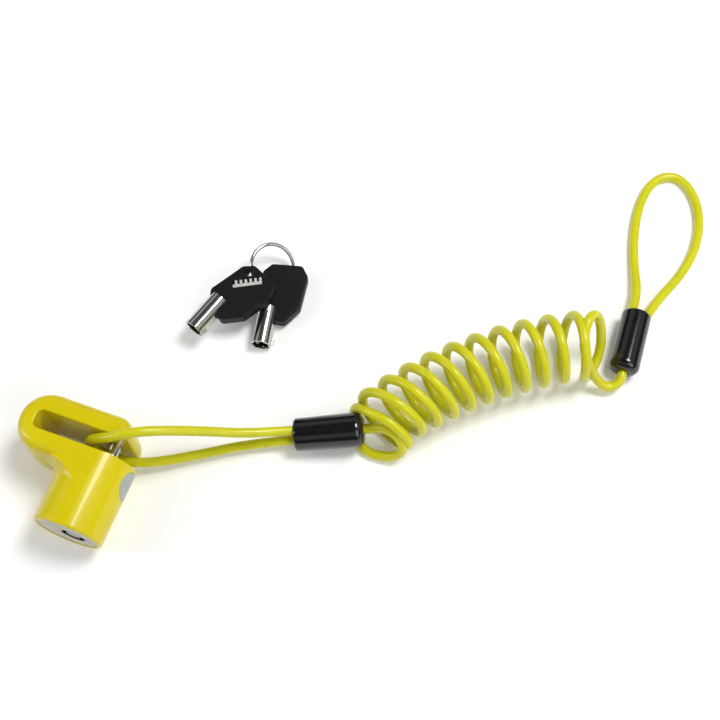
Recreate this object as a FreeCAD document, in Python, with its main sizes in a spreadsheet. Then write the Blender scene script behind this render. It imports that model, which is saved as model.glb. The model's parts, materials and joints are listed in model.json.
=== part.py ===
import FreeCAD, Part
import math
import os
import re
import Sketcher

# Disc brake lock with its coiled reminder cable and two keys on a split ring.
#
# Frame, millimetres: the origin is the centre of the disc slot, on the locking pin's axis and at
# mid-thickness. +X runs along the slot to its open end, +Y along the barrel from the key face to
# the slot, and +Z up from the surface that the lock lies on, which is z = -thick / 2.

V = FreeCAD.Vector

DIMENSIONS = {
    # casting
    "thick": 27.6, "barrel_radius": 14.0, "barrel_axis_x": -2.5, "face_y": -35.5,
    "head_half": 12.0, "head_centre_x": -25.0, "jaw_end_x": 7.4, "slot_half": 3.7,
    "slot_end_x": -30.0, "slot_corner": 2.6, "blend_radius": 7.0, "blend_rise": 1.0, "jaw_corner": 6.5,
    "rim_edge": 1.1, "outer_edge": 4.0, "slot_edge": 0.8,
    # bores in the casting
    "flange_bore": 12.2, "flange_bore_end_y": -31.8, "main_bore": 11.05,
    "main_bore_end_y": -7.2, "pin_bore": 2.8, "pin_socket_end_y": 9.0,
    "keeper_depth": 12.2, "keeper_half": 4.0, "keeper_front_y": -17.3, "keeper_rear_y": -14.9,
    # round trim on the barrel's side
    "badge_radius": 6.0, "badge_y": -10.6, "badge_floor": 12.2, "badge_proud": 0.12,
    # lock cylinder, which slides out of the barrel
    "housing_front_y": -35.3, "housing_rear_y": -12.0, "housing_radius": 11.0,
    "flange_radius": 12.15, "flange_rear_y": -32.0, "housing_bore": 6.0, "travel": 12.3,
    "seal_y": -30.6, "seal_ring": 10.3, "seal_wire": 0.7, "seal_groove_half": 0.85,
    "seal_groove_floor": 9.5, "screw_y": -27.0, "screw_radius": 1.95, "screw_hole": 2.0,
    "screw_dog": 1.2, "screw_bottom": 13.6, "screw_step": 11.2, "screw_tip": 9.9,
    "dog_groove_half": 1.3, "dog_groove_floor": 9.6, "dog_groove_front_y": -28.4,
    "dog_groove_rear_y": -13.3,
    # tumblers
    "keyway_radius": 4.8, "plug_radius": 5.98, "keyway_rear_y": -29.0, "post_radius": 2.9,
    "post_front_y": -35.0, "rotor_front_y": -28.8, "rotor_rear_y": -25.6, "rotor_radius": 5.9,
    "shaft_radius": 2.2, "shaft_end_y": -18.2, "tumbler_circle": 3.85, "tumbler_radius": 0.78,
    "tumbler_bore": 0.86, "tumbler_count": 7, "key_pin_front_y": -29.2,
    "sleeve_front_y": -25.5, "sleeve_rear_y": -19.6, "sleeve_bore": 2.3,
    "sleeve_hole_end_y": -20.4, "driver_front_y": -25.45, "driver_rear_y": -23.2,
    "tumbler_spring_front_y": -23.1, "tumbler_spring_rear_y": -20.5,
    "tumbler_spring_bore": 0.45,
    # tail cam, latch bolt and rear cap
    "cam_radius": 4.2, "cam_front_y": -19.4, "cam_rear_y": -17.2, "cam_bore": 2.22,
    "cam_bore_end_y": -18.15, "crank": 1.5, "crank_pin": 0.8, "crank_pin_end_y": -15.1,
    "latch_half": 3.5, "latch_front_y": -17.0, "latch_rear_y": -15.2, "latch_tip_x": -12.85,
    "latch_back_x": 3.2, "latch_play": 0.15, "cap_front_y": -14.8,
    "latch_slot_low_x": -1.25, "latch_slot_high_x": 0.95, "latch_slot_low_z": -2.5,
    "latch_slot_high_z": 1.0,
    # locking pin and return spring
    "pin_radius": 2.75, "pin_tip_y": 8.2, "pin_root_y": -14.6, "pin_tip_edge": 0.6,
    "cap_hole": 2.76, "spring_radius": 4.4, "spring_wire": 0.4, "spring_pitch": 1.05,
    "spring_height": 3.65, "spring_front_y": -11.4,
    # reminder cable
    "cable_radius": 2.0, "coil_radius": 15.2, "mouth_a": 6.6, "shoulder_a": 7.2,
    "mouth_b": 6.1, "shoulder_b": 6.3, "cap_length": 28.3, "cap_mouth_hole": 4.9,
    "cap_mouth_depth": 5.0, "cap_bore": 4.7, "cap_exit_hole": 2.3, "cap_end_wall": 3.0,
    "cap_mouth_edge": 1.2, "cap_end_edge": 3.6, "strand_offset": 2.3, "strand_hole": 2.05,
    # keys
    "key_tube": 4.4, "key_tube_bore": 3.35, "key_tube_length": 15.6, "key_tube_depth": 9.0,
    "key_tube_seat": 1.6, "bow_thick": 5.4, "bow_edge": 0.7, "bow_corner": 2.2,
    "ring_hole": 1.8, "ring_radius": 9.7,
    "ring_wire": 0.8, "ring_clearance": 1.5, "plate_length": 12.4, "plate_width": 3.2,
    "plate_strip": 1.4, "plate_recess": 0.9, "plate_thick": 0.8, "notch_radius": 0.6,
}

doc = FreeCAD.newDocument("disc_brake_lock")
sheet = doc.addObject("Spreadsheet::Sheet", "Dims")
for row, (alias, size) in enumerate(DIMENSIONS.items(), 1):
    sheet.set(f"A{row}", alias)
    sheet.set(f"B{row}", str(size))
    sheet.setAlias(f"B{row}", alias)
doc.recompute()


def number(formula):
    """What a formula of sheet names comes to, worked out in a spare cell of the sheet."""
    sheet.set("D1", f"={formula}")
    sheet.recompute()
    return float(sheet.get("D1"))


def bind(thing, **formulas):
    """Binds properties to formulas of sheet names. In a property's name, __ stands for a dot."""
    for name, formula in formulas.items():
        linked = re.sub(r"[a-z][a-z_]*", lambda word: "Dims." + word.group(), str(formula))
        thing.setExpression(name.replace("__", "."), linked)


FINISHED = []


def finish(thing, label):
    """Names a finished sub-part. Its label is its file's name."""
    thing.Label = label
    FINISHED.append(thing)
    return thing


# ---- sketches and features -------------------------------------------------------------------

def sketch_on(body, role, **offset):
    """A sketch on one of the body's own origin planes, moved by a bound attachment offset."""
    plane = next(item for item in body.Origin.OriginFeatures if item.Role == role)
    sketch = body.newObject("Sketcher::SketchObject", "Sketch")
    sketch.AttachmentSupport = [(plane, "")]
    sketch.MapMode = "FlatFace"
    bind(sketch, **{f"AttachmentOffset__Base__{axis}": size for axis, size in offset.items()})
    return sketch


def hold(sketch, edge, point, place):
    """Ties a sketch point to the origin by its two distances, bound to the sheet."""
    for kind, axis_line, size in (("DistanceX", -2, place[0]), ("DistanceY", -1, place[1])):
        if size in (0, "0"):
            sketch.addConstraint(Sketcher.Constraint("PointOnObject", edge, point, axis_line))
            continue
        row = sketch.addConstraint(
            Sketcher.Constraint(kind, -1, 1, edge, point, number(size)))
        bind(sketch, **{f"Constraints[{row}]": size})


def outline(sketch, corners):
    """A closed outline of straight edges through corners given as pairs of formulas."""
    places = [V(number(x), number(y), 0) for x, y in corners]
    first = sketch.GeometryCount
    count = len(places)
    for step in range(count):
        sketch.addGeometry(Part.LineSegment(places[step], places[(step + 1) % count]), False)
    for step in range(count):
        following = first + (step + 1) % count
        sketch.addConstraint(Sketcher.Constraint("Coincident", first + step, 2, following, 1))
        hold(sketch, first + step, 1, corners[step])
    return sketch


def circle(sketch, x, y, radius):
    edge = sketch.addGeometry(
        Part.Circle(V(number(x), number(y), 0), V(0, 0, 1), number(radius)), False)
    row = sketch.addConstraint(Sketcher.Constraint("Radius", edge, number(radius)))
    bind(sketch, **{f"Constraints[{row}]": radius})
    hold(sketch, edge, 3, (x, y))
    return sketch


def rectangle(sketch, low_x, high_x, low_y, high_y):
    return outline(sketch, [(low_x, low_y), (high_x, low_y), (high_x, high_y), (low_x, high_y)])


def feature(body, kind, sketch, length=None, **settings):
    """A Pad, Pocket, Revolution or Groove of a sketch."""
    made = body.newObject("PartDesign::" + kind, kind)
    made.Profile = sketch
    if kind in ("Revolution", "Groove"):
        made.ReferenceAxis = (sketch, ["V_Axis"])
        made.Angle = 360
    for name, setting in settings.items():
        setattr(made, name, setting)
    if length is not None:
        bind(made, Length=length)
    doc.recompute()
    return made


def cut(body, kind, sketch, length=None, **settings):
    """A Pocket or Groove that must take material away."""
    before = body.Shape.Volume
    made = feature(body, kind, sketch, length, **settings)
    if body.Shape.Volume > before - 0.01:
        raise RuntimeError(f"{body.Name}: {made.Name} cuts nothing")
    return made


def fillet(body, radius, wanted):
    """Rounds the edges whose middle point passes the test."""
    shape = body.Tip.Shape
    names = []
    for row, edge in enumerate(shape.Edges, 1):
        middle = edge.valueAt((edge.FirstParameter + edge.LastParameter) / 2)
        if wanted(middle, edge):
            names.append(f"Edge{row}")
    made = body.newObject("PartDesign::Fillet", "Fillet")
    made.Base = (body.Tip if body.Tip != made else made.BaseFeature, names)
    bind(made, Radius=radius)
    doc.recompute()
    if "Invalid" in made.State:
        raise RuntimeError(f"{body.Name}: fillet of {radius} failed on {names}")
    return made


def turned(name, profile, axis_x="0"):
    """A body turned about an axis along Y: the profile's corners are (radius, y)."""
    body = doc.addObject("PartDesign::Body", name)
    feature(body, "Revolution", outline(sketch_on(body, "XY_Plane", x=axis_x), profile))
    return body


def bored(body, profile, axis_x="0"):
    """Turns a hole of the given profile in a body, about an axis along Y."""
    return cut(body, "Groove", outline(sketch_on(body, "XY_Plane", x=axis_x), profile))


def rod(name, radius, low, high, x="0", z="0"):
    """A cylinder along Y from y = low to y = high."""
    made = doc.addObject("Part::Cylinder", name)
    made.Placement = FreeCAD.Placement(V(), FreeCAD.Rotation(V(0, 0, 1), V(0, 1, 0)))
    bind(made, Radius=radius, Height=f"{high} - ({low})", Placement__Base__x=x,
         Placement__Base__y=low, Placement__Base__z=z)
    return made


def tumblers(name, radius, low, high, angle_step):
    """Rods along Y, evenly spaced round the plug's axis."""
    rods = []
    for step in range(int(number("tumbler_count"))):
        angle = step * angle_step
        made = rod(name + "_rod", radius, low, high)
        made.setExpression("Placement.Base.x", f"Dims.tumbler_circle * cos({angle:.6f} deg)")
        made.setExpression("Placement.Base.z", f"Dims.tumbler_circle * sin({angle:.6f} deg)")
        rods.append(made)
    return rods


def joined(kind, name, members):
    made = doc.addObject(kind, name)
    if kind == "Part::Compound":
        made.Links = members
    else:
        made.Shapes = members
    doc.recompute()
    return made


def difference(name, base, tool):
    made = doc.addObject("Part::Cut", name)
    made.Base = base
    made.Tool = tool
    doc.recompute()
    return made


# ---- the lock's casting ----------------------------------------------------------------------

def near(a, b):
    return abs(a - b) < 0.02


def lock_body():
    """C-shaped head that straddles the brake disc, with the lock cylinder's barrel below it."""
    body = doc.addObject("PartDesign::Body", "LockBody")
    head = sketch_on(body, "XY_Plane")
    end_x, half, slot = number("head_centre_x"), number("head_half"), number("slot_half")
    head.addGeometry(Part.ArcOfCircle(Part.Circle(V(end_x, 0, 0), V(0, 0, 1), half),
                                      math.pi / 2, 3 * math.pi / 2), False)
    corners = [("head_centre_x", "-head_half"), ("barrel_axis_x", "-head_half"),
               ("barrel_axis_x", "-slot_half"), ("slot_end_x", "-slot_half"),
               ("slot_end_x", "slot_half"), ("jaw_end_x", "slot_half"),
               ("jaw_end_x", "head_half"), ("head_centre_x", "head_half")]
    places = [V(number(x), number(y), 0) for x, y in corners]
    for start, end in zip(places, places[1:]):
        head.addGeometry(Part.LineSegment(start, end), False)
    for edge in range(1, 7):
        head.addConstraint(Sketcher.Constraint("Coincident", edge, 2, edge + 1, 1))
    for edge in range(1, 8):
        hold(head, edge, 1, corners[edge - 1])
    hold(head, 7, 2, corners[7])
    head.addConstraint(Sketcher.Constraint("Coincident", 0, 2, 1, 1))
    head.addConstraint(Sketcher.Constraint("Coincident", 0, 1, 7, 2))
    row = head.addConstraint(Sketcher.Constraint("DistanceX", -1, 1, 0, 3, end_x))
    bind(head, **{f"Constraints[{row}]": "head_centre_x"})
    feature(body, "Pad", head, "thick", Midplane=True)

    top = number("thick") / 2
    fillet(body, "jaw_corner", lambda at, edge: near(at.x, number("jaw_end_x")) and near(at.y, half)
           and near(at.z, 0))
    fillet(body, "slot_corner", lambda at, edge: near(at.x, number("slot_end_x"))
           and near(abs(at.y), slot) and near(at.z, 0))

    outer = number("outer_edge")

    def outer_edge(at, edge):
        on_rim = at.y > half - 0.02 or at.x > number("jaw_end_x") - 2.5 and at.y > slot
        on_end = math.hypot(at.x - end_x, at.y) > half - 0.05 and at.x <= end_x
        return near(abs(at.z), top) and (on_rim or on_end or near(at.y, -half) and at.x < -outer)

    fillet(body, "outer_edge", outer_edge)

    barrel = circle(sketch_on(body, "XZ_Plane", x="barrel_axis_x", z="slot_half"),
                    "0", "0", "barrel_radius")
    feature(body, "Pad", barrel, "-face_y - slot_half")
    fillet(body, "rim_edge", lambda at, edge: near(at.y, number("face_y")))
    flare = sketch_on(body, "XY_Plane", x="barrel_axis_x")
    blend, side = number("blend_radius"), -number("barrel_radius")
    flare.addGeometry(Part.ArcOfCircle(
        Part.Circle(V(side - blend, -half - blend, 0), V(0, 0, 1), blend), 0, math.pi / 2), False)
    path = [("-barrel_radius - blend_radius", "-head_half"),
            ("-barrel_radius - blend_rise", "-head_half + outer_edge"),
            ("-barrel_radius / 2", "-head_half + outer_edge"),
            ("-barrel_radius / 2", "-head_half - blend_radius"),
            ("-barrel_radius", "-head_half - blend_radius")]
    spots = [V(number(x), number(y), 0) for x, y in path]
    for step in range(4):
        flare.addGeometry(Part.LineSegment(spots[step], spots[step + 1]), False)
        hold(flare, step + 1, 1, path[step])
    hold(flare, 4, 2, path[4])
    for edge, following in ((0, 1), (1, 2), (2, 3), (3, 4)):
        flare.addConstraint(Sketcher.Constraint("Coincident", edge, 2, following, 1))
    flare.addConstraint(Sketcher.Constraint("Coincident", 4, 2, 0, 1))
    row = flare.addConstraint(Sketcher.Constraint("Radius", 0, blend))
    bind(flare, **{f"Constraints[{row}]": "blend_radius"})
    feature(body, "Revolution", flare, Angle=180, Midplane=True)
    for side in (1, -1):
        trim = sketch_on(body, "XZ_Plane", z="-face_y + 1")
        rectangle(trim, "barrel_axis_x - 30", "barrel_axis_x + 30",
                  *(("thick / 2", "thick") if side > 0 else ("-thick", "-thick / 2")))
        cut(body, "Pocket", trim, "-face_y + 20", Reversed=False)
    fillet(body, "slot_edge", lambda at, edge: near(abs(at.z), top) and abs(at.y) < slot + 0.02)
    bored(body, [("0", "face_y - 1"), ("flange_bore", "face_y - 1"),
                 ("flange_bore", "flange_bore_end_y"), ("main_bore", "flange_bore_end_y"),
                 ("main_bore", "main_bore_end_y"), ("0", "main_bore_end_y")], "barrel_axis_x")
    bored(body, [("0", "main_bore_end_y - 1"), ("pin_bore", "main_bore_end_y - 1"),
                 ("pin_bore", "pin_socket_end_y"), ("0", "pin_socket_end_y")])
    for shift in ("0", "-travel"):
        keeper = rectangle(sketch_on(body, "XY_Plane", y=shift),
                           "barrel_axis_x - keeper_depth", "barrel_axis_x",
                           "keeper_front_y", "keeper_rear_y")
        cut(body, "Pocket", keeper, "keeper_half * 2", Midplane=True)
    screw = circle(sketch_on(body, "XY_Plane"), "barrel_axis_x", "screw_y", "screw_hole")
    cut(body, "Pocket", screw, "thick")
    badge = circle(sketch_on(body, "YZ_Plane", z="barrel_axis_x + badge_floor"),
                   "badge_y", "0", "badge_radius + 0.05")
    cut(body, "Pocket", badge, "barrel_radius", Reversed=True)
    return finish(body, "lock_body")


def side_badge():
    """Round trim disc, whose outer face carries on the barrel's curve."""
    disc = doc.addObject("Part::Cylinder", "BadgeDisc")
    disc.Placement = FreeCAD.Placement(V(), FreeCAD.Rotation(V(0, 0, 1), V(1, 0, 0)))
    bind(disc, Radius="badge_radius", Height="barrel_radius",
         Placement__Base__x="barrel_axis_x + badge_floor", Placement__Base__y="badge_y")
    curve = rod("BadgeCurve", "barrel_radius + badge_proud", "face_y", "slot_half",
                "barrel_axis_x")
    finish(joined("Part::MultiCommon", "Badge", [disc, curve]), "side_badge")


def retaining_screw():
    """Set screw from below, whose dog runs in the lock cylinder's groove and limits its travel."""
    parts = []
    for radius, low, high in (("screw_radius", "screw_bottom", "screw_step"),
                              ("screw_dog", "screw_step + 0.1", "screw_tip")):
        made = doc.addObject("Part::Cylinder", "Screw")
        bind(made, Radius=radius, Height=f"{low} - ({high})", Placement__Base__x="barrel_axis_x",
             Placement__Base__y="screw_y", Placement__Base__z=f"-({low})")
        parts.append(made)
    socket = doc.addObject("Part::Prism", "Socket")
    bind(socket, Circumradius="screw_dog * 0.9", Height="screw_radius * 0.8",
         Placement__Base__x="barrel_axis_x", Placement__Base__y="screw_y",
         Placement__Base__z="-screw_bottom - 0.2")
    body = joined("Part::MultiFuse", "ScrewBody", parts)
    finish(difference("ScrewCut", body, socket), "retaining_screw")


def return_spring():
    """Round wire wound about the pin's axis, nearly closed up while the pin is home."""
    body = doc.addObject("PartDesign::Body", "Spring")
    wire = circle(sketch_on(body, "XY_Plane"), "spring_radius", "spring_front_y", "spring_wire")
    coil = body.newObject("PartDesign::AdditiveHelix", "Coil")
    coil.Profile = wire
    coil.ReferenceAxis = (wire, ["V_Axis"])
    coil.Mode = 0
    bind(coil, Pitch="spring_pitch", Height="spring_height")
    doc.recompute()
    finish(body, "return_spring")


# ---- the lock cylinder and what it holds -----------------------------------------------------

def cylinder_housing():
    """Turned sleeve that slides in the barrel. Its bore is off its own axis, on the pin's."""
    body = turned("Housing", [
        ("0", "housing_front_y"), ("flange_radius", "housing_front_y"),
        ("flange_radius", "flange_rear_y"), ("housing_radius", "flange_rear_y"),
        ("housing_radius", "seal_y - seal_groove_half"),
        ("seal_groove_floor", "seal_y - seal_groove_half"),
        ("seal_groove_floor", "seal_y + seal_groove_half"),
        ("housing_radius", "seal_y + seal_groove_half"), ("housing_radius", "housing_rear_y"),
        ("0", "housing_rear_y")], "barrel_axis_x")
    bored(body, [("0", "housing_front_y - 1"), ("housing_bore", "housing_front_y - 1"),
                 ("housing_bore", "housing_rear_y + 1"), ("0", "housing_rear_y + 1")])
    slot = rectangle(sketch_on(body, "XY_Plane"), "barrel_axis_x - housing_radius - 1", "0",
                     "latch_front_y - latch_play", "latch_rear_y + latch_play")
    cut(body, "Pocket", slot, "latch_half * 2 + 0.1", Midplane=True)
    groove = rectangle(sketch_on(body, "XY_Plane", z="-dog_groove_floor"),
                       "barrel_axis_x - dog_groove_half", "barrel_axis_x + dog_groove_half",
                       "dog_groove_front_y", "dog_groove_rear_y")
    cut(body, "Pocket", groove, "housing_radius")
    finish(body, "cylinder_housing")


def keyway_bushing():
    body = turned("Bushing", [
        ("keyway_radius", "housing_front_y"), ("plug_radius", "housing_front_y"),
        ("plug_radius", "keyway_rear_y"), ("keyway_radius", "keyway_rear_y")])
    notch = rectangle(sketch_on(body, "XY_Plane"), "post_radius", "plug_radius - 0.3",
                      "housing_front_y - 1", "housing_front_y + 3")
    cut(body, "Pocket", notch, "crank_pin * 2", Midplane=True)
    finish(body, "keyway_bushing")


def spindle():
    """Centre post, the rotor disc that the key turns, and the shaft to the tail cam."""
    body = turned("Spindle", [
        ("0", "post_front_y"), ("post_radius", "post_front_y"), ("post_radius", "rotor_front_y"),
        ("rotor_radius", "rotor_front_y"), ("rotor_radius", "rotor_rear_y"),
        ("shaft_radius", "rotor_rear_y"), ("shaft_radius", "shaft_end_y"), ("0", "shaft_end_y")])
    drill_tumbler_holes(body, "rotor_front_y", "rotor_rear_y - rotor_front_y")
    finish(body, "spindle")


def drill_tumbler_holes(body, start, depth):
    hole = circle(sketch_on(body, "XZ_Plane", z=f"-({start})"), "tumbler_circle", "0",
                  "tumbler_bore")
    first = cut(body, "Pocket", hole, depth)
    ring = body.newObject("PartDesign::PolarPattern", "Holes")
    ring.Originals = [first]
    ring.Axis = (hole, ["N_Axis"])
    ring.Angle = 360
    bind(ring, Occurrences="tumbler_count")
    body.Tip = ring
    doc.recompute()


def tumbler_sleeve():
    body = turned("Sleeve", [
        ("sleeve_bore", "sleeve_front_y"), ("plug_radius", "sleeve_front_y"),
        ("plug_radius", "sleeve_rear_y"), ("sleeve_bore", "sleeve_rear_y")])
    drill_tumbler_holes(body, "sleeve_front_y", "sleeve_hole_end_y - sleeve_front_y")
    finish(body, "tumbler_sleeve")


def tumbler_pins():
    step = 360 / number("tumbler_count")
    keys = tumblers("KeyPin", "tumbler_radius", "key_pin_front_y", "rotor_rear_y", step)
    finish(joined("Part::Compound", "KeyPins", keys), "key_pins")
    drivers = tumblers("Driver", "tumbler_radius", "driver_front_y", "driver_rear_y", step)
    finish(joined("Part::Compound", "DriverPins", drivers), "driver_pins")
    shells = tumblers("Coil", "tumbler_radius", "tumbler_spring_front_y",
                      "tumbler_spring_rear_y", step)
    cores = tumblers("Core", "tumbler_spring_bore", "tumbler_spring_front_y - 1",
                     "tumbler_spring_rear_y + 1", step)
    springs = [difference("PinSpring", shell, core) for shell, core in zip(shells, cores)]
    finish(joined("Part::Compound", "PinSprings", springs), "pin_springs")


def tail_cam():
    """Disc on the spindle's end, with the crank pin that works the latch bolt."""
    disc = rod("CamDisc", "cam_radius", "cam_front_y", "cam_rear_y")
    pin = rod("CrankPin", "crank_pin", "cam_rear_y - 0.5", "crank_pin_end_y", z="-crank")
    bore = rod("CamBore", "cam_bore", "cam_front_y - 1", "cam_bore_end_y")
    body = joined("Part::MultiFuse", "CamBody", [disc, pin])
    finish(difference("Cam", body, bore), "tail_cam")


def latch_bolt():
    """Flat bolt that the crank pin pushes out of the housing's side."""
    body = doc.addObject("PartDesign::Body", "Latch")
    plate = rectangle(sketch_on(body, "XY_Plane"), "latch_tip_x", "latch_back_x",
                      "latch_front_y", "latch_rear_y")
    feature(body, "Pad", plate, "latch_half * 2", Midplane=True)
    slot = rectangle(sketch_on(body, "XZ_Plane", z="-latch_front_y + 1"), "latch_slot_low_x",
                     "latch_slot_high_x", "latch_slot_low_z", "latch_slot_high_z")
    cut(body, "Pocket", slot, "thick", Midplane=True)
    finish(body, "latch_bolt")


def rear_cap():
    body = turned("RearCap", [
        ("cap_hole", "cap_front_y"), ("plug_radius", "cap_front_y"),
        ("plug_radius", "housing_rear_y"), ("cap_hole", "housing_rear_y")])
    finish(body, "rear_cap")


def locking_pin():
    body = turned("Pin", [
        ("0", "pin_root_y"), ("pin_radius", "pin_root_y"),
        ("pin_radius", "pin_tip_y - pin_tip_edge"), ("pin_radius - pin_tip_edge", "pin_tip_y"),
        ("0", "pin_tip_y")])
    finish(body, "locking_pin")


def lock():
    lock_body()
    side_badge()
    retaining_screw()
    return_spring()
    cylinder_housing()
    seal = doc.addObject("Part::Torus", "Seal")
    seal.Placement = FreeCAD.Placement(V(), FreeCAD.Rotation(V(0, 0, 1), V(0, 1, 0)))
    bind(seal, Radius1="seal_ring", Radius2="seal_wire", Placement__Base__x="barrel_axis_x",
         Placement__Base__y="seal_y")
    finish(seal, "wiper_seal")
    keyway_bushing()
    spindle()
    tumbler_sleeve()
    tumbler_pins()
    tail_cam()
    latch_bolt()
    rear_cap()
    locking_pin()


# ---- reminder cable --------------------------------------------------------------------------

# The cable's route. It starts inside cap A, runs beside the lock to the pin, goes round the pin
# in the slot, and comes back up over the open jaw's corner into cap A. After the coil it passes
# through cap B, makes the hand loop and ends in cap B again.
CAP_A = (V(63.2, 34.2, -6.8), V(89.7, 45.0, -3.0))
CAP_B = (V(179.4, 134.8, -7.4), V(180.4, 106.5, -7.4))
LOOP_SPREAD = V(-0.19, 0.46, 0.87)
LOCK_LOOP = [
    (46.2, 24.9, -9.8), (33.2, 16.3, -9.6), (22.0, 8.8, -8.4), (14.6, 4.2, -7.2),
    (8.2, 1.2, -6.2), (2.6, 0.2, -6.0), (-3.6, 0.3, -6.6), (-8.4, 0.5, -3.8),
    (-10.3, 0.6, 1.3), (-8.2, 0.6, 6.8), (-4.2, 0.7, 11.4), (1.2, 1.3, 15.8), (7.2, 4.2, 18.2),
    (14.2, 8.2, 17.4), (23.4, 13.7, 12.6), (34.0, 19.6, 6.6), (46.6, 26.0, 0.0),
]
COIL = [
    (95.6, 50.2, 1.4), (102.5, 59.8, 1.4), (111.4, 70.3, 1.4), (121.2, 80.3, 1.4),
    (131.9, 89.6, 1.4), (143.7, 98.1, 1.4), (156.3, 105.8, 1.4), (165.6, 110.4, 1.4),
]
COIL_LEAD = [(166.6, 100.6, -11.7), (171.6, 98.4, -11.4), (176.0, 100.0, -9.6)]
HAND_LOOP = [
    (177.2, 147.0, -10.0), (172.4, 160.6, -11.7), (168.6, 175.6, -11.8), (167.0, 192.0, -11.8),
    (169.6, 206.4, -11.8), (178.4, 212.6, -11.8), (188.0, 206.6, -11.8),
    (194.4, 194.0, -11.8), (196.2, 178.4, -11.8), (193.2, 162.6, -11.7),
    (186.6, 147.4, -10.0),
]


def tube(name, points, radius):
    """A round tube along straight runs joined by tangent arcs, and what its volume should be."""
    edges = []
    bends = []
    start = points[0]
    for before, corner, after in zip(points, points[1:], points[2:]):
        into = (corner - before).normalize()
        out = (after - corner).normalize()
        turn = into.getAngle(out)
        reach = 0.45 * min((corner - before).Length, (after - corner).Length)
        enter, leave = corner - into * reach, corner + out * reach
        middle_way = (out - into).normalize()
        bend = reach / math.tan(turn / 2)
        middle = corner + middle_way * (bend / math.cos(turn / 2) - bend)
        edges.append(Part.LineSegment(start, enter).toShape())
        edges.append(Part.Arc(enter, middle, leave).toShape())
        bends.append((round(bend, 1), round(math.degrees(turn))))
        start = leave
    edges.append(Part.LineSegment(start, points[-1]).toShape())
    path = Part.Wire(edges)
    heading = points[1] - points[0]
    section = Part.Wire([Part.Circle(points[0], heading, radius).toShape()])
    solid = path.makePipeShell([section], True, False)
    expected = math.pi * radius ** 2 * path.Length
    print(f"{name}: length {path.Length:.1f}, volume ratio {solid.Volume / expected:.4f}")
    print(f"  bends, radius and degrees: {bends}")
    made = doc.addObject("Part::Feature", "Tube")
    made.Shape = solid
    made.Placement = FreeCAD.Placement()
    return finish(made, name)


def laid_along(start, end):
    """The placement that takes the Y axis from the origin to the line from start to end."""
    return FreeCAD.Placement(start, FreeCAD.Rotation(V(0, 1, 0), end - start))


def crimp_cap(label, place, mouth, shoulder):
    """Moulded sleeve: an open mouth for the loop's two strands and a hole for the coil's end."""
    body = doc.addObject("PartDesign::Body", "Cap")
    feature(body, "Revolution", outline(sketch_on(body, "XY_Plane"), [
        ("0", "0"), (mouth, "0"), (shoulder, "cap_length"), ("0", "cap_length")]))
    fillet(body, "cap_end_edge", lambda at, edge: near(at.y, number("cap_length")))
    fillet(body, "cap_mouth_edge", lambda at, edge: near(at.y, 0))
    bored(body, [("0", "-1"), ("cap_mouth_hole", "-1"), ("cap_mouth_hole", "cap_mouth_depth"),
                 ("cap_bore", "cap_mouth_depth"), ("cap_bore", "cap_length - cap_end_wall"),
                 ("cap_exit_hole", "cap_length - cap_end_wall"),
                 ("cap_exit_hole", "cap_length + 1"), ("0", "cap_length + 1")])
    body.Placement = place
    finish(body, label)


def ferrule(label, place, spread):
    """Swaged sleeve that grips the cable's end beside the strand that runs through."""
    body = turned("Ferrule", [
        ("0", "cap_mouth_depth"), ("cap_bore - 0.02", "cap_mouth_depth"),
        ("cap_bore - 0.02", "cap_length - cap_end_wall"), ("0", "cap_length - cap_end_wall")])
    local = place.Rotation.inverted().multVec(spread)
    tilt = math.degrees(math.atan2(local.z, local.x))
    for side in (1, -1):
        hole = circle(sketch_on(body, "XZ_Plane", z="-cap_mouth_depth"),
                      f"{side * math.cos(math.radians(tilt)):.5f} * strand_offset",
                      f"{side * math.sin(math.radians(tilt)):.5f} * strand_offset", "strand_hole")
        cut(body, "Pocket", hole, "cap_length")
    body.Placement = place
    finish(body, label)


def cable():
    radius = number("cable_radius")
    depth, offset = number("cap_mouth_depth"), number("strand_offset")
    spread = V(LOOP_SPREAD).normalize()
    along = (CAP_A[1] - CAP_A[0]).normalize()
    entry = CAP_A[0] + along * (depth - 0.5)
    route = [V(*spot) for spot in LOCK_LOOP]
    tube("cable_lock_loop", [entry - spread * offset] + route + [entry + spread * offset], radius)
    tube("cable_coil", [V(*spot) for spot in COIL], number("coil_radius"))
    flat = V(1, 0, 0)
    into_b = (CAP_B[1] - CAP_B[0]).normalize()
    tube("cable_coil_lead", [V(*spot) for spot in COIL_LEAD] + [CAP_B[1]], radius)
    loop = [V(*spot) for spot in HAND_LOOP]
    entry = CAP_B[0] + into_b * (depth - 0.5)
    tube("cable_hand_loop", [entry - flat * offset] + loop + [entry + flat * offset], radius)
    for letter, (mouth, end), across, mouth_size, shoulder_size in (
            ("a", CAP_A, spread, "mouth_a", "shoulder_a"),
            ("b", CAP_B, flat, "mouth_b", "shoulder_b")):
        place = laid_along(mouth, end)
        crimp_cap(f"crimp_cap_{letter}", place, mouth_size, shoulder_size)
        ferrule(f"ferrule_{letter}", place, across)


# ---- keys and split ring ---------------------------------------------------------------------

RING_PLACE = FreeCAD.Placement(V(25.8, 103.0, -6.6),
                               FreeCAD.Rotation(V(0, 0, 1), V(0.54, -0.19, 0.82)))
BOW_CORNERS = [(-4.2, -8.5), (4, -13.4), (18.8, -13.2), (23.4, -9.6), (21.6, 3.4), (17.4, 6.3),
               (0.8, 6), (-4.2, 0.5)]
NOTCH_DEPTHS = (2.0, 0.9, 1.6, 1.2, 2.2, 1.0, 1.8)


def turned_about_z(degrees, place=V()):
    return FreeCAD.Placement(place, FreeCAD.Rotation(V(0, 0, 1), degrees))


def torus(name, minor, place):
    made = doc.addObject("Part::Torus", name)
    made.Placement = place
    bind(made, Radius1="ring_radius", Radius2=minor)
    return made


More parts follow.
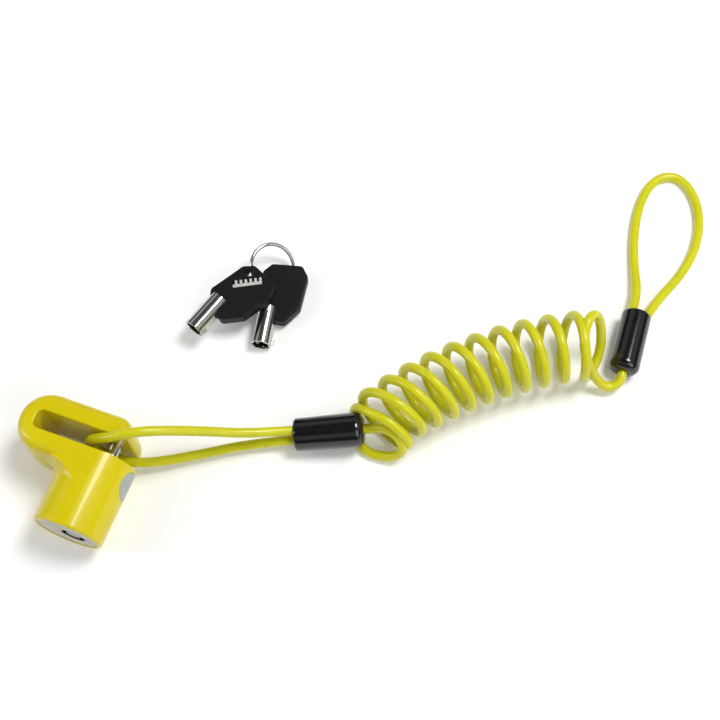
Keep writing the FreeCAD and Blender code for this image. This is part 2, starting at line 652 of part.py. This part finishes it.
def key_tube(index, place, turn):
    """Plated tube with an open end, whose rim is notched to set each tumbler."""
    outside = rod("KeyTube", "key_tube", "-key_tube_length", "key_tube_seat")
    lug = rod("Lug", "crank_pin", "-key_tube_length + 0.6", "-key_tube_length + 3.2",
              x="key_tube")
    bore = rod("KeyBore", "key_tube_bore", "-key_tube_length - 1",
               "-key_tube_length + key_tube_depth")
    count = int(number("tumbler_count"))
    notches = []
    for step in range(count):
        angle = (step + 0.5) * 360 / count
        notch = rod("Notch", "notch_radius", "-key_tube_length - 1",
                    f"-key_tube_length + {NOTCH_DEPTHS[step]}")
        notch.setExpression("Placement.Base.x", f"Dims.key_tube_bore * cos({angle:.6f} deg)")
        notch.setExpression("Placement.Base.z", f"Dims.key_tube_bore * sin({angle:.6f} deg)")
        notches.append(notch)
    solid = joined("Part::MultiFuse", "TubeSolid", [outside, lug])
    space = joined("Part::MultiFuse", "TubeSpace", [bore] + notches)
    made = difference("Tube", solid, space)
    made.Placement = place.multiply(turned_about_z(turn - 90))
    finish(made, f"key_{index}_tube")


def key_bow(index, place, turn, hole, side, plate_at, plate_turn):
    """Moulded bow, recessed for its comb-shaped plate and opened for the ring and the tube."""
    body = doc.addObject("PartDesign::Body", "Bow")
    face = outline(sketch_on(body, "XY_Plane"), BOW_CORNERS)
    feature(body, "Pad", face, "bow_thick", Midplane=True)
    fillet(body, "bow_corner", lambda at, edge: near(at.z, 0))
    half = number("bow_thick / 2")
    fillet(body, "bow_edge", lambda at, edge: near(abs(at.z), half))
    opening = circle(sketch_on(body, "XY_Plane"), *hole, "ring_hole")
    cut(body, "Pocket", opening, "thick", Midplane=True)
    seat = doc.addObject("Part::Cylinder", "Seat")
    bind(seat, Radius="key_tube + 0.02", Height="key_tube_length + key_tube_seat + 0.02")
    heading = FreeCAD.Rotation(V(0, 0, 1), turn).multVec(V(1, 0, 0))
    seat.Placement = FreeCAD.Placement(heading * -number("key_tube_length"),
                                       FreeCAD.Rotation(V(0, 0, 1), heading))
    recess = doc.addObject("Part::Box", "Recess")
    bind(recess, Length="plate_length + 0.1", Width="plate_width + 0.1", Height="plate_recess * 2")
    corner = FreeCAD.Rotation(V(0, 0, 1), plate_turn).multVec(
        V(-number("plate_length / 2 + 0.05"), -number("plate_width / 2 + 0.05"), 0))
    middle = V(*plate_at, 0)
    depth = number("plate_recess")
    recess.Placement = turned_about_z(plate_turn,
                                      middle + corner + V(0, 0, side * half - depth))
    ring_space = torus("RingSpace", "ring_clearance", place.inverse().multiply(RING_PLACE))
    space = joined("Part::MultiFuse", "BowSpace", [seat, recess, ring_space])
    made = difference("BowCut", body, space)
    made.Placement = place
    finish(made, f"key_{index}_bow")

    plate = doc.addObject("PartDesign::Body", "Plate")
    feature(plate, "Pad", outline(sketch_on(plate, "XY_Plane"), comb()), "plate_thick",
            Midplane=True)
    thick = number("plate_thick")
    height = side * (half - depth + 0.02 + thick / 2)
    plate.Placement = place.multiply(turned_about_z(plate_turn, middle + V(0, 0, height)))
    finish(plate, f"key_{index}_plate")


def comb(teeth=6):
    """Outline of a strip with evenly spaced teeth along one side."""
    corners = [("-plate_length / 2", "-plate_width / 2"), ("plate_length / 2", "-plate_width / 2")]
    for step in range(teeth, -teeth, -1):
        rise = "plate_width / 2" if step % 2 == 0 else "plate_strip - plate_width / 2"
        for edge in (step, step - 1):
            corners.append((f"plate_length * {edge / (2 * teeth):.6f}", rise))
    return corners


def keys():
    finish(torus("Ring", "ring_wire", RING_PLACE), "split_ring")
    for index, base, bow_angle, rise, turn, hole, side, plate_at, plate_turn in (
            (1, V(11.8, 77.4, -2.7), 57, 3, 15, ("17.9", "2"), 1, (14.4, -1.3), -30),
            (2, V(31.4, 83.1, -9.2), 97, 2, 4, ("11.6", "2.4"), -1, (11.5, -8.2), 0)):
        lean = FreeCAD.Placement(V(), FreeCAD.Rotation(V(0, 1, 0), -rise))
        place = turned_about_z(bow_angle, base).multiply(lean)
        key_tube(index, place, turn)
        key_bow(index, place, turn, hole, side, plate_at, plate_turn)


lock()
cable()
keys()
sheet.clear("D1")
doc.recompute()
for thing in doc.Objects:
    if "Invalid" in thing.State or "Error" in thing.State:
        raise RuntimeError(f"{thing.Label} failed: {thing.State}")
for thing in FINISHED:
    if thing.Shape.isNull() or not thing.Shape.isValid():
        raise RuntimeError(f"{thing.Label} has no valid shape")
os.makedirs("parts", exist_ok=True)
for thing in FINISHED:
    thing.Shape.exportStep(f"parts/{thing.Label}.step")
print(len(FINISHED), "parts")
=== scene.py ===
import json
import math

import bpy
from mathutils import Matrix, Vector


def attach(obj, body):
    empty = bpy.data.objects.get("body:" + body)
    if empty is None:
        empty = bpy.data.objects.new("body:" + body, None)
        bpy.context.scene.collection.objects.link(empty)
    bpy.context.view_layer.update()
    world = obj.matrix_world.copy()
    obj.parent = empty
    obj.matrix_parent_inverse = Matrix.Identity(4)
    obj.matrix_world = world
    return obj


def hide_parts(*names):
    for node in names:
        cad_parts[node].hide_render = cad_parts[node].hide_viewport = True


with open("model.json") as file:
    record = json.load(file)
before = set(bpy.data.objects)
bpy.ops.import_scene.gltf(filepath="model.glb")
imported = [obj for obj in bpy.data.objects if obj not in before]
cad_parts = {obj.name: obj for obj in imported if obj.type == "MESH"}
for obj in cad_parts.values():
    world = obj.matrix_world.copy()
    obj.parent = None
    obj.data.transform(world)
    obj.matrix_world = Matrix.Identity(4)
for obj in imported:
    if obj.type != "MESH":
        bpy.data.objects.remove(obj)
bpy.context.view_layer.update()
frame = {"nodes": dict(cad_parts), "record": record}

MM = 0.001

# ---- camera, floor and light -----------------------------------------------------------------

CAMERA_AT = Vector((143.1, -107.9, 417.0)) * MM
LOOKS_AT = Vector((75.4, 77.4, -13.8)) * MM
LENS = 56.1
FLOOR_Z = -13.8 * MM
FLOOR_HALF = 3.0
# Each light's place and size in metres, and its power in watts. All point at LIT.
LIT = Vector((0.08, 0.08, 0))
LIGHTS = {
    "key_light": ((0.42, 0.38, 1.0), (0.4, 0.4), 8.5),
    "fill_light": ((0.85, -0.35, 0.65), (0.5, 0.9), 3),
    "side_light": ((-0.75, -0.3, 0.45), (0.25, 0.8), 3),
}
# The studio's grey by the sine of the elevation: dark walls, a light band and a dark ceiling.
STUDIO = ((0.0, 0.35), (0.12, 0.05), (0.35, 0.1), (0.5, 0.8), (0.72, 0.8), (0.82, 0.08),
          (1.0, 0.16))
STUDIO_STRENGTH = 0.6


def look(thing, target):
    thing.rotation_euler = (target - thing.location).to_track_quat("-Z", "Y").to_euler()


def make_camera():
    data = bpy.data.cameras.new("camera")
    data.lens = LENS
    data.sensor_width = 36
    data.clip_start = 0.01
    camera = bpy.data.objects.new("camera", data)
    bpy.context.collection.objects.link(camera)
    camera.location = CAMERA_AT
    look(camera, LOOKS_AT)
    bpy.context.scene.camera = camera


def area_light(name, place, size, power):
    data = bpy.data.lights.new(name, "AREA")
    data.shape = "RECTANGLE"
    data.size, data.size_y = size
    data.energy = power
    light = bpy.data.objects.new(name, data)
    bpy.context.collection.objects.link(light)
    light.location = place
    look(light, LIT)


def make_floor():
    """White paper under the object."""
    mesh = bpy.data.meshes.new("floor")
    corners = [(-FLOOR_HALF, -FLOOR_HALF, FLOOR_Z), (FLOOR_HALF, -FLOOR_HALF, FLOOR_Z),
               (FLOOR_HALF, FLOOR_HALF, FLOOR_Z), (-FLOOR_HALF, FLOOR_HALF, FLOOR_Z)]
    mesh.from_pydata(corners, [], [(0, 1, 2, 3)])
    floor = bpy.data.objects.new("floor", mesh)
    bpy.context.collection.objects.link(floor)
    paper = bpy.data.materials.new("white_floor")
    paper.use_nodes = True
    shader = paper.node_tree.nodes["Principled BSDF"]
    shader.inputs["Base Color"].default_value = (0.93, 0.93, 0.93, 1)
    shader.inputs["Roughness"].default_value = 0.9
    shader.inputs["Specular IOR Level"].default_value = 0.1
    shader.inputs["Emission Color"].default_value = (1, 1, 1, 1)
    shader.inputs["Emission Strength"].default_value = 0.1
    mesh.materials.append(paper)


def make_studio():
    """Surroundings that light the object and show in its polished faces."""
    world = bpy.data.worlds.new("studio")
    world.use_nodes = True
    bpy.context.scene.world = world
    nodes, links = world.node_tree.nodes, world.node_tree.links
    where = nodes.new("ShaderNodeTexCoord")
    split = nodes.new("ShaderNodeSeparateXYZ")
    ramp = nodes.new("ShaderNodeValToRGB")
    links.new(where.outputs["Generated"], split.inputs[0])
    links.new(split.outputs["Z"], ramp.inputs[0])
    links.new(ramp.outputs[0], nodes["Background"].inputs["Color"])
    stops = ramp.color_ramp.elements
    ends = (STUDIO[0], STUDIO[-1])
    for stop, (position, shade) in zip(stops, ends):
        stop.position = position
        stop.color = (shade, shade, shade, 1)
    for position, shade in STUDIO[1:-1]:
        stop = stops.new(position)
        stop.color = (shade, shade, shade, 1)
    nodes["Background"].inputs["Strength"].default_value = STUDIO_STRENGTH
    bpy.context.scene.view_settings.view_transform = "Standard"


# ---- materials -------------------------------------------------------------------------------

def material(name, colour, other=None, patch=400, metallic=0.0, roughness=(0.3, 0.4),
             bump=0.0, grain=3000, stretch=(1, 1, 1), **sockets):
    """A principled finish whose colour, roughness and surface vary with noise in the part."""
    made = bpy.data.materials.new(name)
    made.use_nodes = True
    nodes, links = made.node_tree.nodes, made.node_tree.links
    shader = nodes["Principled BSDF"]
    shader.inputs["Metallic"].default_value = metallic
    for socket, setting in sockets.items():
        shader.inputs[socket.replace("_", " ")].default_value = setting
    where = nodes.new("ShaderNodeTexCoord")
    space = nodes.new("ShaderNodeMapping")
    space.inputs["Scale"].default_value = stretch
    links.new(where.outputs["Object"], space.inputs["Vector"])
    clouds = nodes.new("ShaderNodeTexNoise")
    clouds.inputs["Scale"].default_value = patch
    clouds.inputs["Detail"].default_value = 4
    links.new(space.outputs[0], clouds.inputs["Vector"])
    tint = nodes.new("ShaderNodeValToRGB")
    tint.color_ramp.elements[0].position = 0.35
    tint.color_ramp.elements[1].position = 0.65
    tint.color_ramp.elements[0].color = (*colour, 1)
    tint.color_ramp.elements[1].color = (*(other or [part * 0.94 for part in colour]), 1)
    links.new(clouds.outputs["Fac"], tint.inputs["Fac"])
    links.new(tint.outputs["Color"], shader.inputs["Base Color"])
    gloss = nodes.new("ShaderNodeMapRange")
    gloss.inputs["To Min"].default_value, gloss.inputs["To Max"].default_value = roughness
    links.new(clouds.outputs["Fac"], gloss.inputs["Value"])
    links.new(gloss.outputs["Result"], shader.inputs["Roughness"])
    if bump:
        fine = nodes.new("ShaderNodeTexNoise")
        fine.inputs["Scale"].default_value = grain
        fine.inputs["Detail"].default_value = 3
        links.new(space.outputs[0], fine.inputs["Vector"])
        relief = nodes.new("ShaderNodeBump")
        relief.inputs["Strength"].default_value = bump
        relief.inputs["Distance"].default_value = 0.0001
        links.new(fine.outputs["Fac"], relief.inputs["Height"])
        links.new(relief.outputs["Normal"], shader.inputs["Normal"])
    return made


FINISHES = {
    "body_paint": material(
        "yellow_enamel", (0.66, 0.545, 0.0), (0.70, 0.585, 0.002), patch=60,
        roughness=(0.3, 0.38), bump=0.1, grain=900, Coat_Weight=0.35, Coat_Roughness=0.12,
        Specular_IOR_Level=0.25),
    "satin_grey": material(
        "satin_grey", (0.37, 0.41, 0.39), (0.42, 0.46, 0.44), patch=500, metallic=0.35,
        roughness=(0.38, 0.5), bump=0.15, grain=5000),
    "chrome": material(
        "bright_nickel", (0.62, 0.61, 0.59), (0.50, 0.49, 0.47), patch=250, metallic=1.0,
        roughness=(0.10, 0.2), bump=0.03, grain=2500),
    "steel": material(
        "ground_steel", (0.52, 0.52, 0.53), (0.44, 0.44, 0.45), patch=700, metallic=1.0,
        roughness=(0.25, 0.4), bump=0.2, grain=4000, stretch=(1, 0.08, 1)),
    "spring_steel": material(
        "spring_steel", (0.42, 0.42, 0.44), patch=700, metallic=1.0, roughness=(0.2, 0.35),
        bump=0.1),
    "brass": material(
        "turned_brass", (0.62, 0.43, 0.16), (0.50, 0.34, 0.12), patch=500, metallic=1.0,
        roughness=(0.2, 0.35), bump=0.15, grain=4000, stretch=(1, 0.1, 1)),
    "seal_rubber": material(
        "nitrile_rubber", (0.012, 0.012, 0.012), patch=600, roughness=(0.5, 0.65), bump=0.2),
    "cable_vinyl": material(
        "yellow_vinyl", (0.60, 0.585, 0.006), (0.66, 0.635, 0.01), patch=90,
        roughness=(0.24, 0.34), bump=0.1, grain=1400, Coat_Weight=0.2, Coat_Roughness=0.2,
        Specular_IOR_Level=0.3),
    "cap_black": material(
        "gloss_black", (0.004, 0.004, 0.005), (0.007, 0.007, 0.008), patch=300,
        roughness=(0.12, 0.2), bump=0.04, grain=1200, Coat_Weight=0.3, Coat_Roughness=0.06),
    "key_black": material(
        "satin_black", (0.006, 0.006, 0.008), (0.010, 0.010, 0.013), patch=800,
        roughness=(0.4, 0.5), bump=0.3, grain=5200, Specular_IOR_Level=0.15),
    "key_plate": material(
        "brushed_nickel", (0.74, 0.73, 0.68), (0.60, 0.59, 0.54), patch=900, metallic=0.5,
        roughness=(0.4, 0.5), bump=0.2, grain=4000),
    "ferrule_aluminium": material(
        "swaged_aluminium", (0.62, 0.62, 0.62), patch=600, metallic=1.0,
        roughness=(0.3, 0.45), bump=0.3),
}


def finish_nodes():
    """Gives each CAD node the finish of its material slot, and the keys' plates their own."""
    slots = {part["node"]: part["material_slot"] for part in frame["record"]["subparts"]}
    for node, thing in frame["nodes"].items():
        finish = "key_plate" if node.endswith("_plate") else slots[node]
        thing.data.materials.clear()
        thing.data.materials.append(FINISHES[finish])


# ---- the reminder cable ----------------------------------------------------------------------

# The route's points, in millimetres: those of part.py outside the coil and its end turns.
CAP_A = (Vector((63.2, 34.2, -6.8)), Vector((89.7, 45.0, -3.0)))
CAP_B = (Vector((179.4, 134.8, -7.4)), Vector((180.4, 106.5, -7.4)))
CAP_DEPTH = 4.5
STRAIGHT_IN_CAP = 10
STRAND_OFFSET = 2.3
CABLE_RADIUS = 2.0
LOOP_SPREAD = Vector((-0.19, 0.46, 0.87)).normalized()
LOCK_LOOP = [
    (46.2, 24.9, -9.8), (33.2, 16.3, -9.6), (22.0, 8.8, -8.4), (14.6, 4.2, -7.2),
    (8.2, 1.2, -6.2), (2.6, 0.2, -6.0), (-3.6, 0.3, -6.6), (-8.4, 0.5, -3.8),
    (-10.3, 0.6, 1.3), (-8.2, 0.6, 6.8), (-4.2, 0.7, 11.4), (1.2, 1.3, 15.8), (7.2, 4.2, 18.2),
    (14.2, 8.2, 17.4), (23.4, 13.7, 12.6), (34.0, 19.6, 6.6), (46.6, 26.0, 0.0),
]
FIRST_TURN = [
    (94.4, 46.6, -0.8), (99.4, 46.2, 1.6), (104.2, 44.8, 0.2), (106.6, 42.6, -4.4),
    (104.4, 40.4, -9.0), (99.2, 39.2, -11.6), (93.8, 38.8, -11.8), (88.8, 40.6, -11.8),
    (86.4, 45.2, -11.8), (83.8, 49.8, -10.2), (82.0, 52.2, -5.6), (83.4, 51.4, 0.2),
    (88.6, 49.4, 4.8), (96.4, 48.0, 6.8), (103.8, 46.4, 4.4), (108.0, 45.0, -1.2),
    (107.2, 45.2, -7.2), (102.6, 46.6, -10.8),
]
LAST_TURN = [
    (167.4, 101.8, -10.8), (169.2, 108.0, -9.4), (168.6, 113.2, -3.4), (166.4, 116.8, 3.6),
    (163.4, 118.8, 10.0), (160.6, 116.6, 14.2), (159.6, 110.8, 15.0), (160.8, 105.0, 11.4),
    (163.8, 101.6, 5.4), (167.6, 100.0, -1.2), (172.4, 98.9, -8.0), (177.2, 99.0, -9.7),
    (180.6, 102.2, -8.4),
]
HAND_LOOP = [
    (177.2, 147.0, -10.0), (172.4, 160.6, -11.7), (168.6, 175.6, -11.8), (167.0, 192.0, -11.8),
    (169.6, 206.4, -11.8), (178.4, 212.6, -11.8), (188.0, 206.6, -11.8),
    (194.4, 194.0, -11.8), (196.2, 178.4, -11.8), (193.2, 162.6, -11.7),
    (186.6, 147.4, -10.0),
]
# The coil's axis is an arc, and its turns lean against it. Turns are counted from cap A to cap B,
# and lie closer together towards cap A by CROWDING.
ARC_MIDDLE, ARC_RADIUS = Vector((239.72, -46.18)), 173.36
ARC_FROM, ARC_TO = math.radians(151.11), math.radians(113.80)
LEAN_FROM, LEAN_TO = math.radians(21.83), math.radians(-10.84)
ARC_START_TURN, ARC_TURNS, CROWDING = -2.9, 12.4, 0.0737
TURN_RADIUS, COIL_Z = 13.2, 1.3
FIRST, LAST, STEPS = -1.2, 8.64, 14
PHASE = math.radians(203.09)


def coil_point(turn):
    """A point of the coil: right-handed turns about the arc."""
    share = (turn - ARC_START_TURN) / ARC_TURNS
    along = share - CROWDING * share * (1 - share)
    around = ARC_FROM + (ARC_TO - ARC_FROM) * along
    middle = ARC_MIDDLE + Vector((math.cos(around), math.sin(around))) * ARC_RADIUS
    lean = around + LEAN_FROM + (LEAN_TO - LEAN_FROM) * share
    angle = PHASE - 2 * math.pi * turn
    side = Vector((math.cos(lean), math.sin(lean))) * -math.cos(angle) * TURN_RADIUS
    return Vector((middle.x + side.x, middle.y + side.y, COIL_Z + TURN_RADIUS * math.sin(angle)))


def cable_route():
    along_a = (CAP_A[1] - CAP_A[0]).normalized()
    along_b = (CAP_B[1] - CAP_B[0]).normalized()
    inside_a = CAP_A[0] + along_a * CAP_DEPTH
    inside_b = CAP_B[0] + along_b * CAP_DEPTH
    across_b = Vector((STRAND_OFFSET, 0, 0))
    start = inside_a - LOOP_SPREAD * STRAND_OFFSET
    route = [start] + [Vector(spot) for spot in LOCK_LOOP]
    route += [inside_a + LOOP_SPREAD * STRAND_OFFSET, CAP_A[1] - along_a * STRAIGHT_IN_CAP, CAP_A[1]]
    route += [Vector(spot) for spot in FIRST_TURN]
    count = round((LAST - FIRST) * STEPS)
    route += [coil_point(FIRST + (LAST - FIRST) * step / count) for step in range(count + 1)]
    route += [Vector(spot) for spot in LAST_TURN]
    route += [CAP_B[1], CAP_B[1] - along_b * STRAIGHT_IN_CAP]
    route += [inside_b - across_b] + [Vector(spot) for spot in HAND_LOOP] + [inside_b + across_b]
    return route


def make_cable():
    route = cable_route()
    data = bpy.data.curves.new("reminder_cable", "CURVE")
    data.dimensions = "3D"
    data.resolution_u = 5
    data.bevel_depth = CABLE_RADIUS * MM
    data.bevel_resolution = 5
    data.use_fill_caps = True
    spline = data.splines.new("NURBS")
    spline.points.add(len(route) - 1)
    for point, spot in zip(spline.points, route):
        point.co = (*(spot * MM), 1)
    spline.order_u = 3
    spline.use_endpoint_u = True
    cable = bpy.data.objects.new("reminder_cable", data)
    bpy.context.collection.objects.link(cable)
    data.materials.append(FINISHES["cable_vinyl"])
    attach(cable, "lock")
    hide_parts("cable_lock_loop", "cable_coil", "cable_coil_lead", "cable_hand_loop")


make_camera()
for light, (place, size, power) in LIGHTS.items():
    area_light(light, place, size, power)
make_floor()
make_studio()
finish_nodes()
make_cable()
